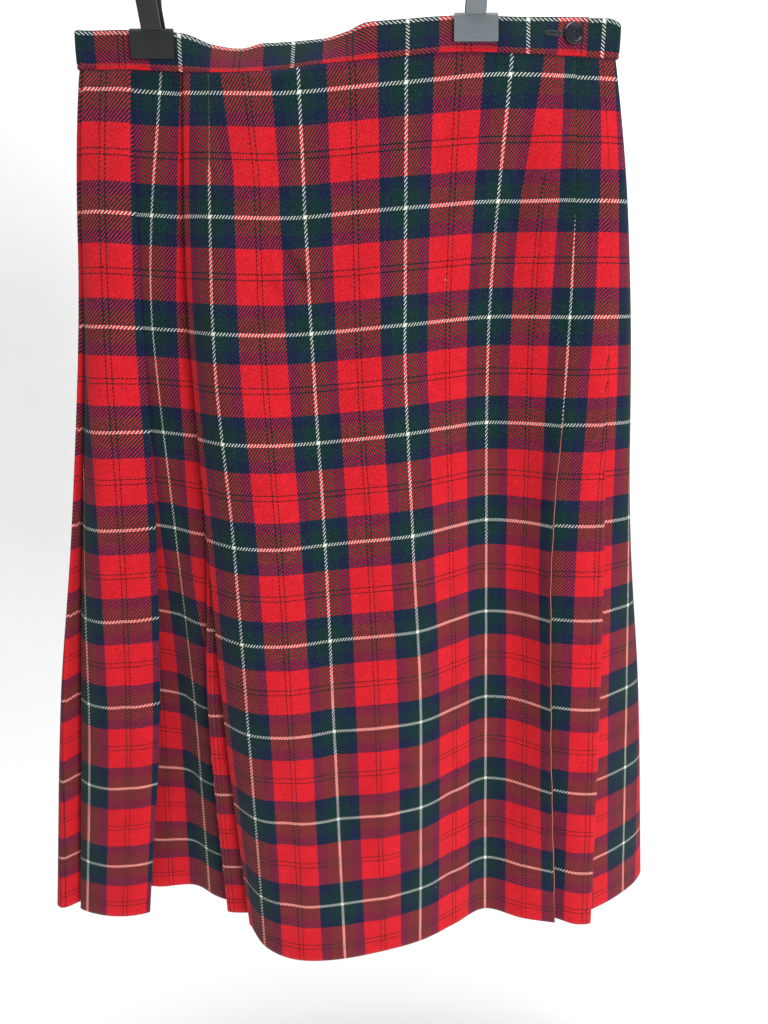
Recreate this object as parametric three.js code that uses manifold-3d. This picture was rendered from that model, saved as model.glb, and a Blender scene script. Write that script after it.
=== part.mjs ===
// A wrap skirt of tartan cloth, kilted at the left side and the back, hanging from a clip hanger.
// Millimetres, +Z up, +X to the right and -Y towards the viewer of the front.
// The origin is the point where the hanger's hook bears on a rail.

import * as THREE from 'three';
import { mergeVertices } from 'three/addons/utils/BufferGeometryUtils.js';
import Module from 'manifold-3d';

const wasm = await Module();
wasm.setup();

// ---------------------------------------------------------------- sizes

const CLOTH = 1.0;          // thickness of one layer of cloth
const BAND = 2.0;           // thickness of the folded waistband
const BAND_HEIGHT = 27;
const SEAM_GAP = 0.3;       // between pieces that are sewn together
const SIDE_GAP = 0.8;       // at the side seams, where the two walls meet at an angle
const SEAM_Z = -152;        // lower edge of the waistband
const SKIRT_LENGTH = 794;   // from that edge to the hem
const LAYER_SEAM = 1.4;     // pitch of the layers in a pressed pleat, at the waistband
const LAYER_HEM = 3.2;      // and at the hem, where they hang loose

const LAYER_OVER = -3.2;    // y of the outermost layer at the waistband
const LAYER_BACK = 4.6;     // y of the back's outer layer where the clips pinch
const LEFT_END = -184;      // x of the waistband's two turned ends
const RIGHT_END = 235;
const OVER_BAND_END = 209;  // x of the over band's free end
const UNDER_BAND_START = -50;
const BAND_STEP = 8;        // between the points of a band

const FACE_STEPS = 3;       // points on each stretch of smooth cloth
const PLEAT_STEPS = 2;      // and on each stretch of the narrower pleat faces
const COVERED_ROWS = 7;     // rows of the over apron that the under apron lies behind

const CLIP_X = 122;         // each clip's distance from the hook
const BAR_Z = -104;
const BAR_RADIUS = 2.5;
const BAR_LENGTH = 300;
const BAR_TILT = THREE.MathUtils.degToRad(2.5);   // the right end hangs higher

// ---------------------------------------------------------------- tables

// The five named heights of every section, as fractions of the skirt's length.
const HEIGHTS = [0, 0.25, 0.475, 0.7, 1];   // seam, hip, thigh, knee, hem

// How far the hem hangs below or above its level, for x across the front.
const HANG_LINE = [
  { x: -176, lift: -2 },
  { x: -100, lift: -6 },
  { x: -40, lift: -8 },
  { x: 70, lift: 0 },
  { x: 150, lift: 6 },
  { x: 330, lift: 6 },
];

// The same at the seam under the waistband.
const SEAM_LINE = [
  { x: -184, lift: -5.5 },
  { x: -120, lift: -8.5 },
  { x: -60, lift: -10.7 },
  { x: -36, lift: -10.2 },
  { x: 5, lift: -5.5 },
  { x: 70, lift: 0 },
  { x: 112, lift: 3.2 },
  { x: 160, lift: 2.2 },
  { x: 235, lift: 3.3 },
];

// How far the waist curves back towards its two ends. It is flat under the clips and round the
// turn at the left end.
const WAIST_CURVE = [
  { x: -184, depth: 14 },
  { x: -178, depth: 14 },
  { x: -140, depth: 7 },
  { x: -104, depth: 7 },
  { x: -78, depth: 3 },
  { x: -40, depth: 0 },
  { x: 80, depth: 0 },
  { x: 104, depth: 1.5 },
  { x: 140, depth: 1.5 },
  { x: 172, depth: 5 },
  { x: 203, depth: 12 },
  { x: 242, depth: 19 },
];
const CURVE_LENGTH = 0.15;  // share of the length in which that curve fades

// Lean of the waistband's top edge away from the front, in degrees.
const BAND_LEAN = [
  { x: -184, lean: 3 },
  { x: -104, lean: 3 },
  { x: -80, lean: 33 },
  { x: -57, lean: 41 },
  { x: -38, lean: 33 },
  { x: 5, lean: 38 },
  { x: 25, lean: 29 },
  { x: 42, lean: 12 },
  { x: 104, lean: 15 },
  { x: 140, lean: 15 },
  { x: 222, lean: 0 },
];

// How far the back of the waist bows out between the clips.
const BACK_WAIST = [
  { x: -101, bow: 0 },
  { x: -86, bow: 3 },
  { x: -50, bow: 17 },
  { x: 10, bow: 19 },
  { x: 60, bow: 9 },
  { x: 86, bow: 2 },
  { x: 101, bow: 0 },
];

// Share of the length in which the back comes free of the pinched waist.
const RELEASE_LENGTH = 0.3;

// Depth of the rounded back behind the two side edges, at the five heights.
const BACK_DEPTH = [20, 42, 60, 76, 92];
const BACK_PLEATS = 10;
const BACK_UNDERLAP = [19, 23, 26, 26, 24];
const BACK_OPENING = [0, 3, 7, 12, 18];     // extra depth of the inner folds

// One knife pleat of the back, from its hidden leg to its face. along: share of the underlap,
// from the tip. turn: half layers along the face. layer: depth in layers. open: share of the
// opening.
const BACK_PLEAT = [
  { name: 'inner leg', along: 0.5, turn: 0, layer: 2, open: 0.5 },
  { name: 'before the inner fold', along: 1, turn: -1, layer: 2, open: 1 },
  { name: 'inner fold', along: 1, turn: 0, layer: 1.5, open: 1 },
  { name: 'after the inner fold', along: 1, turn: -1, layer: 1, open: 1 },
  { name: 'outer leg', along: 0.5, turn: 0, layer: 1, open: 0.35 },
  { name: 'before the tip', along: 0, turn: 1, layer: 1, open: 0 },
  { name: 'tip', along: 0, turn: 0, layer: 0.5, open: 0 },
  { name: 'after the tip', along: 0, turn: 1, layer: 0, open: 0 },
  { name: 'face over the leg', along: 0.55, turn: 0, layer: 0, open: 0 },
  { name: 'face past the leg', along: 1.1, turn: 0, layer: 0, open: 0 },
];

// Sections of the cloth, one row for each fold or stretch. x and y run over the five heights.
// bend: 'left' and 'right' are folds whose tip points that way; 'open' is a free or sewn edge;
// without it the row is a point that the smooth cloth passes through.
// front: which leg of a fold lies nearer the viewer, the one before the tip or the one after.
const OVER_APRON = [
  { name: 'free edge', bend: 'open', x: [199.5, 206.5, 202, 210, 227], y: [-3.2, -6, -9, -13, -20] },
  { name: 'beside the edge', x: [183, 178, 179, 186, 195], y: [-3.2, 3, 7, 4, -14] },
  { name: 'valley', x: [149.5, 141, 146, 152, 158], y: [-3.2, 9, 14, 13, -1] },
  { name: 'right of centre', x: [112, 106, 113, 121, 125], y: [-3.2, -1, -2, -6, -20] },
  { name: 'centre', x: [70, 70, 78, 87, 89], y: [-3.4, -10, -18, -26, -38] },
  { name: 'ridge', x: [-12, -6, 2, 7, 15], y: [-4, -14, -22, -32, -53] },
  { name: 'left of centre', x: [-46, -48, -40, -36, -36], y: [-4, -18, -30, -38, -51] },
  { name: 'beside the fold', x: [-80.5, -85, -76, -71, -66], y: [-3.4, -18, -27, -34, -36] },
  { name: 'left fold', bend: 'left', front: 'before',
    x: [-100.5, -108, -103, -97, -86], y: [-2.55, -1, -9, -15, -9] },
  { name: 'kick seam', bend: 'open', x: [-74.5, -78, -72, -66, -58], y: [-1.9, 0, -4, -4, 3] },
];

const PLEATS_LEFT = [
  { name: 'kick seam', bend: 'open', x: [-74.5, -78, -72, -66, -58], y: [-0.6, 3, 0, 1, 8] },
  { name: 'third left fold', bend: 'left', front: 'before',
    x: [-91, -104, -106, -115, -112], y: [0.05, 6, -2, -2, 8] },
  { name: 'under third pleat', bend: 'right', front: 'before',
    x: [-80.5, -92, -93, -96, -92.5], y: [1.35, 9, 4, 6, 20] },
  { name: 'second face, start', x: [-90, -107, -110, -119, -115.5], y: [1.9, 10.5, 6, 9.5, 23] },
  { name: 'second face, right', x: [-103.5, -118, -123, -130.5, -129], y: [0.2, 11, 10, 16, 28] },
  { name: 'second face', x: [-120, -140, -141, -147, -154], y: [-0.4, 12, 22, 33, 42] },
  { name: 'second face, left', x: [-137, -157, -161, -172, -191], y: [-0.6, 17.8, 28, 40, 38] },
  { name: 'under first pleat', bend: 'left', front: 'after',
    x: [-164.5, -180, -187, -199, -220], y: [-1.25, 20, 32, 42, 40] },
  { name: 'first pleat', bend: 'right', front: 'after',
    x: [-141, -151, -157, -167, -193], y: [-2.55, 13, 19, 16, 3] },
  { name: 'first face', x: [-151, -166, -176, -188, -212], y: [-3.2, 6, 8, 6, -3] },
  { name: 'first face, middle', x: [-161, -186, -202, -216, -232], y: [-3.2, 4, 5, 5, -3] },
  { name: 'first face, left', x: [-170.5, -196, -218, -236, -252], y: [-3.2, 8, 14, 13, 1] },
  { name: 'first left fold', bend: 'left', front: 'before',
    x: [-179, -201, -226, -246, -267], y: [-2.55, 14, 25, 23, 8] },
  { name: 'side inner fold', bend: 'right', front: 'before',
    x: [-169, -190, -206, -222, -240], y: [-1.25, 19, 34, 37, 24] },
  { name: 'side face', x: [-174, -200, -227, -250, -266], y: [-0.6, 22, 36, 34, 20] },
  { name: 'side face, outer', x: [-179, -206, -233.5, -261, -286], y: [-0.4, 18, 20, 17, 8] },
  { name: 'side edge', x: [-183.5, -209, -236, -266, -294], y: [1, 23, 28, 23, 14] },
  { name: 'side seam', bend: 'open', x: [-178.4, -206, -231, -260, -288], y: [4.6, 32, 40, 36, 28] },
];

const SIDE_RIGHT = [
  { name: 'side seam', bend: 'open', x: [228.5, 256, 274, 302, 328], y: [4.6, 30, 48, 68, 74] },
  { name: 'side edge', x: [233, 263, 282, 312, 338], y: [1, 22, 36, 54, 58] },
  { name: 'outer face', x: [230, 257.5, 277, 304, 328.5], y: [-0.6, 10, 21, 39, 40] },
  { name: 'inner face', x: [226, 247.5, 262.5, 279, 297], y: [-0.6, 4, 12, 20, 14] },
  { name: 'hidden seam', bend: 'open', x: [222.3, 240, 248.5, 252.5, 259], y: [-0.6, 0, 5, 3, -8] },
];

// The under apron's part beyond the over apron's edge. The rest of it lies behind that panel.
const UNDER_APRON = [
  { name: 'hidden seam', bend: 'open', x: [222, 239.7, 248.2, 252.2, 258.7], y: [-0.6, 0, 5, 3, -8] },
  { name: 'inner bend', x: [219, 238, 240.5, 243, 248], y: [-0.6, -1, 2, 2, -8] },
  { name: 'right edge', x: [216, 234, 248, 256, 263], y: [-0.6, -2, -6, -12, -20] },
  { name: 'visible face', x: [211.5, 224, 226, 233, 248], y: [-0.6, -2.5, -7, -12, -22] },
  { name: 'under the edge', bend: 'open', x: [203, 208, 204, 212, 229], y: [-0.6, -2, -4, -7, -14] },
];
const UNDER_CLEARANCE = [2.6, 4, 5, 6, 7];  // from the over apron's middle to the under apron's
const UNDER_START = [-50, -46, -38, -32, -28];

// ---------------------------------------------------------------- curves

// Cubic through the knots (xs, ys), with slopes limited so that it never overshoots.
function smooth(xs, ys, x) {
  const last = xs.length - 1;
  if (x <= xs[0]) return ys[0];
  if (x >= xs[last]) return ys[last];
  const rise = (i) => (ys[i + 1] - ys[i]) / (xs[i + 1] - xs[i]);
  const slope = (i) => {
    if (i === 0) return rise(0);
    if (i === last) return rise(last - 1);
    const before = rise(i - 1);
    const after = rise(i);
    return before * after <= 0 ? 0 : (2 * before * after) / (before + after);
  };
  let i = 0;
  while (x > xs[i + 1]) i += 1;
  const h = xs[i + 1] - xs[i];
  const t = (x - xs[i]) / h;
  const a = ys[i] * (1 + 2 * t) * (1 - t) ** 2 + ys[i + 1] * t * t * (3 - 2 * t);
  return a + h * (slope(i) * t * (1 - t) ** 2 - slope(i + 1) * t * t * (1 - t));
}

const byHeight = (values, fraction) => smooth(HEIGHTS, values, fraction);

const readTable = (table, column, x) =>
  smooth(table.map((row) => row.x), table.map((row) => row[column]), x);

const layerPitch = (fraction) => THREE.MathUtils.lerp(LAYER_SEAM, LAYER_HEM, Math.sqrt(fraction));

const hangZ = (x, fraction) => SEAM_Z - fraction * SKIRT_LENGTH + THREE.MathUtils.lerp(
  readTable(SEAM_LINE, 'lift', x), readTable(HANG_LINE, 'lift', x), fraction);

const waistDepth = (x, fraction) =>
  readTable(WAIST_CURVE, 'depth', x) * Math.max(1 - fraction / CURVE_LENGTH, 0) ** 2;

const leanAt = (x) => THREE.MathUtils.degToRad(readTable(BAND_LEAN, 'lean', x));

// How far the leaning, curving band lies behind its plane, at a height.
const bandDepth = (x, z) => waistDepth(x, 0) + (z - hangZ(x, 0)) * Math.tan(leanAt(x));

const barHeight = (x) => BAR_Z + x * Math.tan(BAR_TILT);

// Points of a Catmull-Rom curve through the leg's points, evenly spaced in count.
function throughPoints(points, steps) {
  const curve = new THREE.CatmullRomCurve3(points.map(([x, y]) => new THREE.Vector3(x, y, 0)),
    false, 'centripetal');
  return curve.getPoints(steps).map((p) => [p.x, p.y]);
}

// One leg of cloth ends at a fold's tip and the next starts there: two leg points and the tip.
function foldPoints(tip, toTip, pitch, frontFirst) {
  const half = pitch / 2;
  const root = tip[0] - toTip * half;
  const front = [root, tip[1] - half];
  const rear = [root, tip[1] + half];
  return frontFirst ? [front, tip, rear] : [rear, tip, front];
}

// The centre line of a table's cloth at one height: legs joined at their folds.
function tableLine(table, stepsPerStretch) {
  return (fraction) => {
    const pitch = layerPitch(fraction);
    const line = [];
    let leg = [];
    const closeLeg = () => {
      const steps = Math.max((leg.length - 1) * stepsPerStretch, FACE_STEPS);
      line.push(...throughPoints(leg, steps));
      leg = [];
    };
    for (const row of table) {
      const at = [byHeight(row.x, fraction), byHeight(row.y, fraction)];
      if (row.bend === 'left' || row.bend === 'right') {
        const toTip = row.bend === 'right' ? 1 : -1;
        const [before, tip, after] = foldPoints(at, toTip, pitch, row.front === 'before');
        leg.push(before);
        closeLeg();
        line.push(tip);
        leg.push(after);
      } else {
        leg.push(at);
      }
    }
    closeLeg();
    return line;
  };
}

// The under apron: its visible part, and then a line that keeps its clearance behind the over
// apron as far as its inner edge.
function underApronLine(fraction) {
  const visible = tableLine(UNDER_APRON, FACE_STEPS)(fraction);
  const over = tableLine(OVER_APRON.slice(0, COVERED_ROWS), FACE_STEPS)(fraction);
  const behind = offsetLine(over, -byHeight(UNDER_CLEARANCE, fraction));
  const [from, to] = [over[0][0], byHeight(UNDER_START, fraction)];
  const steps = over.length - 1;
  const covered = over.slice(1).map((_, i) => THREE.MathUtils.lerp(from, to, (i + 1) / steps));
  return [...visible, ...covered.map((x) => [x, depthAt(behind, x)])];
}

// y of a line that runs along x, at the given x.
function depthAt(line, x) {
  for (let i = 0; i < line.length - 1; i += 1) {
    const [[xa, ya], [xb, yb]] = [line[i], line[i + 1]];
    if ((xa - x) * (xb - x) <= 0 && xa !== xb) return ya + ((yb - ya) * (x - xa)) / (xb - xa);
  }
  return line.at(-1)[1];
}

// ---------------------------------------------------------------- the pleated back

// A point of the back's outer face, for a share s of the way from the left side to the right.
function backFace(s, fraction) {
  const left = PLEATS_LEFT.at(-1);
  const right = SIDE_RIGHT[0];
  const x0 = byHeight(left.x, fraction);
  const x1 = byHeight(right.x, fraction);
  const y0 = byHeight(left.y, fraction);
  const y1 = byHeight(right.y, fraction);
  const angle = Math.PI * s;
  const x = THREE.MathUtils.lerp(x0, x1, (s + (1 - Math.cos(angle)) / 2) / 2);
  const depth = byHeight(BACK_DEPTH, fraction) * Math.sin(angle) ** 0.8;
  const release = 1 - (1 - Math.min(fraction / RELEASE_LENGTH, 1)) ** 2;
  const bow = THREE.MathUtils.lerp(readTable(BACK_WAIST, 'bow', x), depth, release);
  return [x, THREE.MathUtils.lerp(y0, y1, s) + bow];
}

function backFrame(s, fraction) {
  const step = 0.004;
  const [x0, y0] = backFace(Math.max(s - step, 0), fraction);
  const [x1, y1] = backFace(Math.min(s + step, 1), fraction);
  const length = Math.hypot(x1 - x0, y1 - y0);
  const along = [(x1 - x0) / length, (y1 - y0) / length];
  const [x, y] = backFace(s, fraction);
  return { at: [x, y], along, inward: [along[1], -along[0]] };
}

// Knife pleats round the back. Each face ends at a tip that points back to the left side,
// turns under, runs to its inner fold and comes out as the next face.
function backLine(fraction) {
  const pitch = layerPitch(fraction);
  const width = byHeight(SIDE_RIGHT[0].x, fraction) - byHeight(PLEATS_LEFT.at(-1).x, fraction);
  const underlap = byHeight(BACK_UNDERLAP, fraction) / width;
  const opening = byHeight(BACK_OPENING, fraction);
  const place = (s, depth) => {
    const { at, inward } = backFrame(THREE.MathUtils.clamp(s, 0, 1), fraction);
    return [at[0] + inward[0] * depth, at[1] + inward[1] * depth];
  };
  const seam = SIDE_GAP / width;
  const turn = pitch / 2 / width;
  const pleat = 1 / BACK_PLEATS;
  const line = [place(seam, 0), place(pleat * 0.2, 0), place(pleat * 0.6, pitch)];
  line.push(place(pleat - turn, 2 * pitch));
  for (let i = 1; i < BACK_PLEATS; i += 1) {
    const tip = i * pleat;
    for (const point of BACK_PLEAT) {
      const s = tip + underlap * point.along + turn * point.turn;
      line.push(place(s, pitch * point.layer + opening * point.open));
    }
    if (i < BACK_PLEATS - 1) {
      const last = tip + underlap * BACK_PLEAT.at(-1).along;
      line.push(place((last + tip + pleat) / 2, pitch));
      line.push(place(tip + pleat - turn, 2 * pitch));
    }
  }
  line.push(place(1 - seam, 0));
  return line;
}

// ---------------------------------------------------------------- cloth walls

// Cosine of half the sharpest turn that a wall keeps its full thickness round.
const SHARPEST_CORNER = 0.6;

// Moves each point of a line sideways by the same distance, along the mean of its two normals.
function offsetLine(line, distance) {
  return line.map((point, i) => {
    const before = line[Math.max(i - 1, 0)];
    const after = line[Math.min(i + 1, line.length - 1)];
    const unit = ([ax, ay], [bx, by]) => {
      const length = Math.hypot(bx - ax, by - ay) || 1;
      return [(bx - ax) / length, (by - ay) / length];
    };
    const a = i === 0 ? unit(point, after) : unit(before, point);
    const b = i === line.length - 1 ? a : unit(point, after);
    let nx = -(a[1] + b[1]);
    let ny = a[0] + b[0];
    const length = Math.hypot(nx, ny) || 1;
    nx /= length;
    ny /= length;
    const shorten = Math.max(nx * -b[1] + ny * b[0], SHARPEST_CORNER);
    return [point[0] + (nx * distance) / shorten, point[1] + (ny * distance) / shorten];
  });
}

// A closed solid from rows of equally many points: two faces and the four strips round them.
function slab(front, back) {
  const rows = front.length;
  const columns = front[0].length;
  const positions = [...front.flat(), ...back.flat()].flat();
  const index = [];
  const f = (r, c) => r * columns + c;
  const b = (r, c) => rows * columns + r * columns + c;
  const quad = (p, q, r, s) => index.push(p, q, r, p, r, s);
  for (let r = 0; r < rows - 1; r += 1) {
    for (let c = 0; c < columns - 1; c += 1) {
      quad(f(r, c), f(r + 1, c), f(r + 1, c + 1), f(r, c + 1));
      quad(b(r, c), b(r, c + 1), b(r + 1, c + 1), b(r + 1, c));
    }
    quad(f(r, 0), b(r, 0), b(r + 1, 0), f(r + 1, 0));
    quad(f(r, columns - 1), f(r + 1, columns - 1), b(r + 1, columns - 1), b(r, columns - 1));
  }
  for (let c = 0; c < columns - 1; c += 1) {
    quad(f(0, c), f(0, c + 1), b(0, c + 1), b(0, c));
    quad(f(rows - 1, c), b(rows - 1, c), b(rows - 1, c + 1), f(rows - 1, c + 1));
  }
  const geometry = new THREE.BufferGeometry();
  geometry.setAttribute('position', new THREE.Float32BufferAttribute(positions, 3));
  geometry.setIndex(index);
  return facingOut(geometry);
}

// Turns every face round if the solid's volume comes out negative.
function facingOut(geometry) {
  const at = geometry.getAttribute('position');
  const index = geometry.getIndex().array;
  const [a, b, c] = [new THREE.Vector3(), new THREE.Vector3(), new THREE.Vector3()];
  let volume = 0;
  for (let i = 0; i < index.length; i += 3) {
    a.fromBufferAttribute(at, index[i]);
    b.fromBufferAttribute(at, index[i + 1]);
    c.fromBufferAttribute(at, index[i + 2]);
    volume += a.dot(b.cross(c));
  }
  if (volume < 0) geometry.setIndex(Array.from(index).reverse());
  return geometry;
}

const LEVELS = [0, 0.04, 0.1, 0.18, 0.26, 0.34, 0.42, 0.5, 0.58, 0.67, 0.76, 0.84, 0.92, 1];

// Cloth that hangs from the seam under the waistband to the hem.
function hangingCloth(lineAt) {
  const side = (distance) => LEVELS.map((fraction) => {
    const line = lineAt(fraction);
    const shifted = offsetLine(line, distance);
    return shifted.map(([x, y], i) => [
      x, y + waistDepth(line[i][0], fraction), hangZ(line[i][0], fraction) - SEAM_GAP,
    ]);
  });
  return slab(side(CLOTH / 2), side(-CLOTH / 2));
}

// ---------------------------------------------------------------- waistband

// A strip of the folded band that follows a line round the waist. Where the waist leans, each
// level of the strip moves back and sinks.
function bandStrip(line) {
  const ring = (distance, share) => offsetLine(line, distance).map(([x, y], i) => {
    const z = hangZ(line[i][0], 0) + BAND_HEIGHT * share * Math.cos(leanAt(line[i][0]));
    return [x, y + bandDepth(line[i][0], z), z];
  });
  const levels = (distance) => [0, 0.5, 1].map((share) => ring(distance, share));
  return slab(levels(BAND / 2), levels(-BAND / 2));
}

// A straight run at one depth. Between its ends the points lie on the same x in every layer, so
// that the layers stay parallel where the waist leans.
function straightRun(x0, x1, y) {
  const first = Math.ceil((Math.min(x0, x1) + 1) / BAND_STEP);
  const last = Math.floor((Math.max(x0, x1) - 1) / BAND_STEP);
  const inner = [];
  for (let i = first; i <= last; i += 1) inner.push(i * BAND_STEP);
  if (x1 < x0) inner.reverse();
  return [x0, ...inner, x1].map((x) => [x, y]);
}

// Half a turn at an end of the waist, from one layer to another.
function endTurn(tipX, y0, y1, steps) {
  const radius = Math.abs(y1 - y0) / 2;
  const outward = Math.sign(tipX);
  const centre = [tipX - outward * radius, (y0 + y1) / 2];
  const points = [];
  for (let i = 1; i < steps; i += 1) {
    const angle = (Math.PI * i) / steps;
    points.push([
      centre[0] + outward * radius * Math.sin(angle),
      centre[1] + ((y0 - y1) / 2) * Math.cos(angle),
    ]);
  }
  return points;
}

const UNDER_BAND_Y = -0.6;
const TURN_STEPS = 8;
const TURN_SEAM = 2;        // the step of the left turn at which the two bands meet
const overRadius = (LAYER_BACK - LAYER_OVER) / 2;
const underRadius = (LAYER_BACK - UNDER_BAND_Y) / 2;

function overBandLine() {
  return [
    ...endTurn(LEFT_END, LAYER_BACK, LAYER_OVER, TURN_STEPS).slice(TURN_SEAM + 1),
    ...straightRun(LEFT_END + overRadius, OVER_BAND_END, LAYER_OVER),
  ];
}

function underBandLine() {
  const back = straightRun(RIGHT_END - underRadius, LEFT_END + overRadius, LAYER_BACK)
    .map(([x, y]) => [x, y + readTable(BACK_WAIST, 'bow', x)]);
  const turn = endTurn(LEFT_END, LAYER_BACK, LAYER_OVER, TURN_STEPS);
  const [meetingX, meetingY] = turn[TURN_SEAM];
  return [
    ...straightRun(UNDER_BAND_START, RIGHT_END - underRadius, UNDER_BAND_Y),
    ...endTurn(RIGHT_END, UNDER_BAND_Y, LAYER_BACK, 6),
    ...back,
    ...turn.slice(0, TURN_SEAM),
    [meetingX, meetingY + SEAM_GAP],
  ];
}

// ---------------------------------------------------------------- solids by joining and cutting

function toManifold(geometry, matrix = new THREE.Matrix4()) {
  const bare = geometry.clone().applyMatrix4(matrix);
  bare.deleteAttribute('normal');
  bare.deleteAttribute('uv');
  const merged = mergeVertices(bare, 1e-4);
  return new wasm.Manifold(new wasm.Mesh({
    numProp: 3,
    vertProperties: new Float32Array(merged.getAttribute('position').array),
    triVerts: new Uint32Array(merged.getIndex().array),
  }));
}

function fromManifold(solid) {
  const mesh = solid.getMesh();
  const geometry = new THREE.BufferGeometry();
  geometry.setAttribute('position', new THREE.BufferAttribute(mesh.vertProperties, 3));
  geometry.setIndex(new THREE.BufferAttribute(mesh.triVerts, 1));
  return geometry;
}

const shift = (x, y, z) => new THREE.Matrix4().makeTranslation(x, y, z);
const turnX = (angle) => new THREE.Matrix4().makeRotationX(angle);
const turnY = (angle) => new THREE.Matrix4().makeRotationY(angle);
const turnZ = (angle) => new THREE.Matrix4().makeRotationZ(angle);

// ---------------------------------------------------------------- button

const BUTTON = {
  x: 196.6, z: -135, radius: 7.8, height: 3.2, rim: 1.5, floor: 2, round: 0.7,
  hole: 0.9, holeOffset: 1.5,
};

// A turned disc with a raised rim and a dished face, pierced by four holes.
function button() {
  const { radius, rim, floor, height, round, hole, holeOffset } = BUTTON;
  const dish = height - floor;
  const profile = [
    [0, 0], [radius - round, 0], [radius, round], [radius, height - round],
    [radius - round, height], [radius - rim, height], [radius - rim - dish, floor], [0, floor],
  ].map(([r, h]) => new THREE.Vector2(r, h));
  let disc = toManifold(new THREE.LatheGeometry(profile, 32));
  const drill = new THREE.CylinderGeometry(hole, hole, 4 * height, 10);
  for (const sx of [-1, 1]) {
    for (const sy of [-1, 1]) {
      disc = disc.subtract(toManifold(drill, shift(sx * holeOffset, 0, sy * holeOffset)));
    }
  }
  const { x, z } = BUTTON;
  const seat = LAYER_OVER - BAND / 2 - SEAM_GAP + bandDepth(x, z);
  const slope = (bandDepth(x + radius, z) - bandDepth(x - radius, z)) / (2 * radius);
  const place = shift(x, seat, z)
    .multiply(turnZ(Math.PI + Math.atan(slope))).multiply(turnX(leanAt(x)));
  return fromManifold(disc).applyMatrix4(place);
}

// ---------------------------------------------------------------- hanger

// Rod of round section along a path of points.
function rod(points, radius, steps, sides) {
  const section = new THREE.Shape();
  section.absarc(0, 0, radius, 0, 2 * Math.PI);
  const path = new THREE.CatmullRomCurve3(points.map((p) => new THREE.Vector3(...p)));
  const settings = { steps, extrudePath: path, curveSegments: sides / 2, bevelEnabled: false };
  return new THREE.ExtrudeGeometry(section, settings);
}

// The hook's arc runs from one angle to the other, in degrees round its centre.
const HOOK = { wire: 2, bend: 22, neck: -62, jog: 9, startAngle: -35, tipAngle: 205 };

// The wire hook: a straight neck, a short jog to the side and an arc over the bearing point.
function hook() {
  const centreZ = HOOK.wire - HOOK.bend;
  const foot = BAR_Z + BAR_RADIUS + SEAM_GAP;
  const points = [[0, 0, foot], [0, 0, (foot + HOOK.neck) / 2], [0, 0, HOOK.neck]];
  points.push([HOOK.jog, 0, centreZ - HOOK.bend - 1]);
  for (let angle = HOOK.startAngle; angle <= HOOK.tipAngle; angle += 20) {
    const a = THREE.MathUtils.degToRad(angle);
    points.push([HOOK.bend * Math.cos(a), 0, centreZ + HOOK.bend * Math.sin(a)]);
  }
  return rod(points, HOOK.wire, 44, 10);
}

const PAD = { width: 33, height: 18.5, thickness: 3.6, round: 1, below: 1.2 };
const JAW = {
  width: 15, thickness: 2.6, overlap: 3, waistLow: -8, waistHigh: 6, handleTop: 20,
  handleSpread: 15,
};
const SPRING = { outer: 5.4, inner: 2.8, length: 13, turns: 5 };

// One jaw of a clip, as an outline in depth and height, extruded across its width: the pad
// on the band, a narrower stem past the spring, and a flared handle. The outline is drawn for
// the front jaw and turned round for the back one.
function jaw(x, barZ, side) {
  const facing = side === 'front' ? 1 : -1;
  const layer = side === 'front' ? LAYER_OVER : -LAYER_BACK;
  const grip = layer - BAND / 2 - SEAM_GAP;
  const padTop = hangZ(x, 0) + BAND_HEIGHT * Math.cos(leanAt(x)) - PAD.below;
  const leaning = ([y, z]) => [y + facing * bandDepth(x, z), z];
  const padBottom = padTop - PAD.height;
  const outer = grip - PAD.thickness;
  const inside = -SPRING.outer - SEAM_GAP;
  const outside = inside - JAW.thickness;
  const pad = [
    [grip, padBottom], [grip, padTop], [outer + PAD.round, padTop + 2 * PAD.round],
    [outer, padTop], [outer, padBottom + PAD.round], [outer + PAD.round, padBottom],
  ].map(leaning);
  const stem = [
    ...[[grip - 0.6, padTop - JAW.overlap], [grip - 0.6, padTop + 2]].map(leaning),
    [inside, barZ + JAW.waistLow], [inside, barZ + JAW.waistHigh],
    [-JAW.handleSpread + JAW.thickness, barZ + JAW.handleTop],
    [-JAW.handleSpread, barZ + JAW.handleTop],
    [outside, barZ + JAW.waistHigh - 2], [outside, barZ + JAW.waistLow],
    ...[[outer + 0.2, padTop + 1], [outer + 0.6, padTop - JAW.overlap]].map(leaning),
  ];
  const across = (outline, width) => {
    const shape = new THREE.Shape(outline.map(([y, z]) => new THREE.Vector2(y, z)));
    const geometry = new THREE.ExtrudeGeometry(shape, { depth: width, bevelEnabled: false, steps: 1 });
    geometry.applyMatrix4(new THREE.Matrix4().set(
      0, 0, 1, -width / 2,
      1, 0, 0, 0,
      0, 1, 0, 0,
      0, 0, 0, 1,
    ));
    return toManifold(geometry);
  };
  const whole = across(pad, PAD.width).add(across(stem, JAW.width));
  const geometry = fromManifold(whole);
  if (side === 'back') geometry.applyMatrix4(turnZ(Math.PI));
  return geometry;
}

// The coil round the bar between the two jaws.
function spring() {
  const { outer, inner, length, turns } = SPRING;
  const half = length / 2;
  const groove = outer - (outer - inner) / 4;
  const profile = [[inner, -half]];
  for (let i = 0; i < turns; i += 1) {
    const low = -half + (length * i) / turns;
    profile.push([groove, low], [outer, low + length / turns / 2]);
  }
  profile.push([groove, half], [inner, half], [inner, -half]);
  const points = profile.map(([r, h]) => new THREE.Vector2(r, h));
  return new THREE.LatheGeometry(points, 16)
    .applyMatrix4(turnY(-BAR_TILT).multiply(turnZ(-Math.PI / 2)));
}

// ---------------------------------------------------------------- assembly

const finish = (color, roughness, metalness) =>
  new THREE.MeshStandardMaterial({ color, roughness, metalness });

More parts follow.
